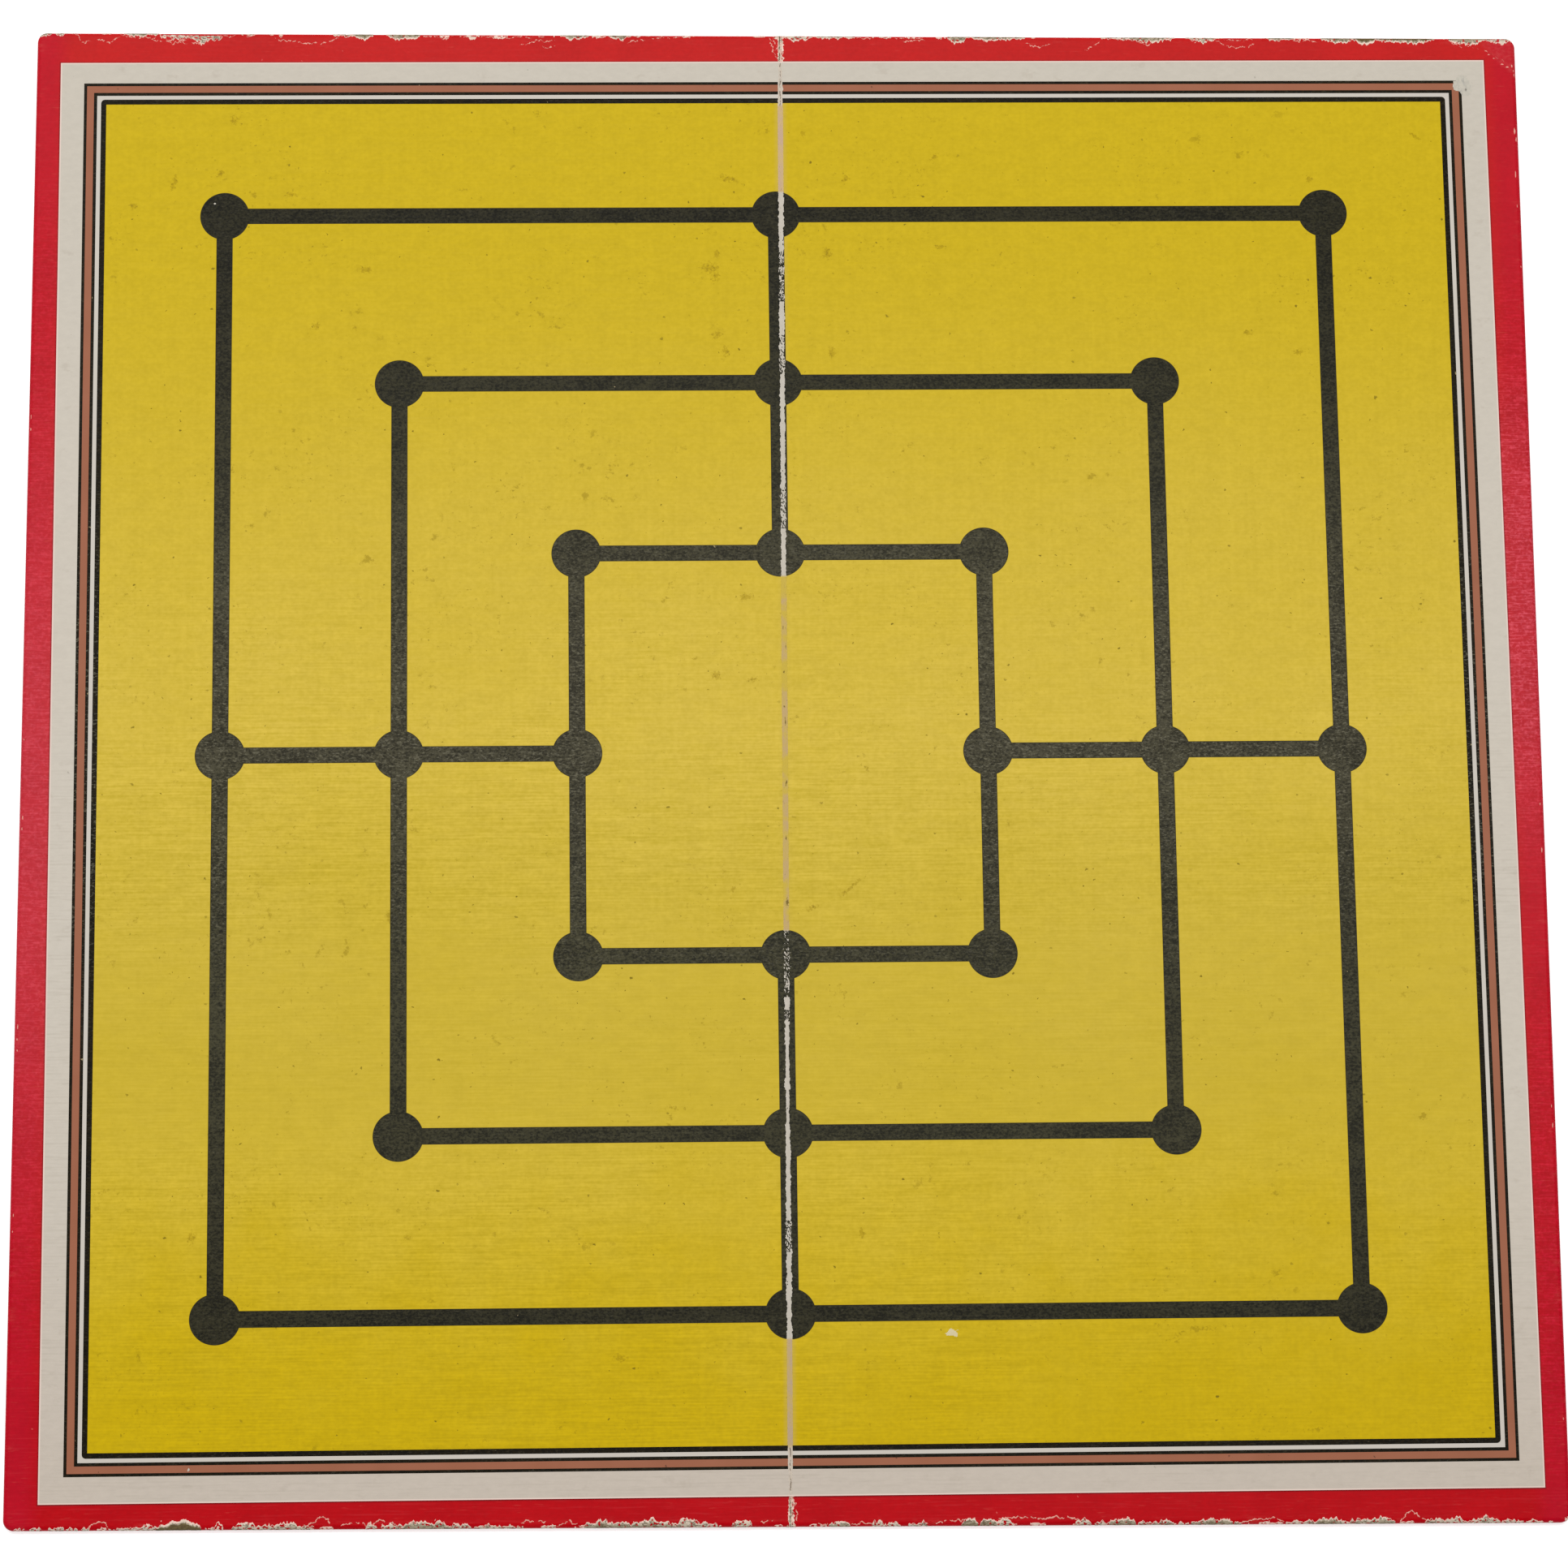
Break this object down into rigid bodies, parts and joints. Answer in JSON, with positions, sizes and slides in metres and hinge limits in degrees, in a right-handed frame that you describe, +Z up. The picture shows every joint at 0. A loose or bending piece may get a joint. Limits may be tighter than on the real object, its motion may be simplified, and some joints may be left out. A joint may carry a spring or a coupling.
{
  "type": "folding double-sided game board",
  "caption": "Square board that folds in half on a paper hinge: nine men's morris above, a chequered draughts field below, red wrapped border.",
  "frame": {"origin": "middle of the fold on the lower face, where the open board lies on the table", "axes": "+Z up out of the nine men's morris face, +X across the fold to the right-hand panel, +Y along the fold to the far edge"},
  "size_m": [0.3, 0.3, 0.0025],
  "materials": {
    "greyboard": "raw grey-brown board",
    "red_paper": "red printed linen-embossed paper, satin varnish",
    "strip_cloth": "plain gummed cloth",
    "bare_paper": "unprinted linen-embossed paper, satin varnish",
    "yellow_print": "yellow print, satin varnish",
    "brown_print": "brown print, satin varnish",
    "black_print": "black print, satin varnish"
  },
  "bodies": {
    "left_half": {"core_left": "greyboard", "back_sheet_left": "red_paper", "hinge_strip_left": "strip_cloth", "label_left": "bare_paper", "label_yellow_left": "yellow_print", "label_brown_left": "brown_print", "label_black_left": "black_print", "back_ground_left": "bare_paper", "back_yellow_left": "yellow_print", "back_brown_left": "brown_print", "back_black_left": "black_print"},
    "right_half": {"core_right": "greyboard", "back_sheet_right": "red_paper", "hinge_strip_right": "strip_cloth", "label_right": "bare_paper", "label_yellow_right": "yellow_print", "label_brown_right": "brown_print", "label_black_right": "black_print", "back_ground_right": "bare_paper", "back_yellow_right": "yellow_print", "back_brown_right": "brown_print", "back_black_right": "black_print"}
  },
  "joints": [
    {"name": "fold", "type": "hinge", "parent": "left_half", "child": "right_half", "pos_m": [0, 0, 0.00255], "axis": [0, -1, 0], "range_deg": [0, 180]}
  ]
}
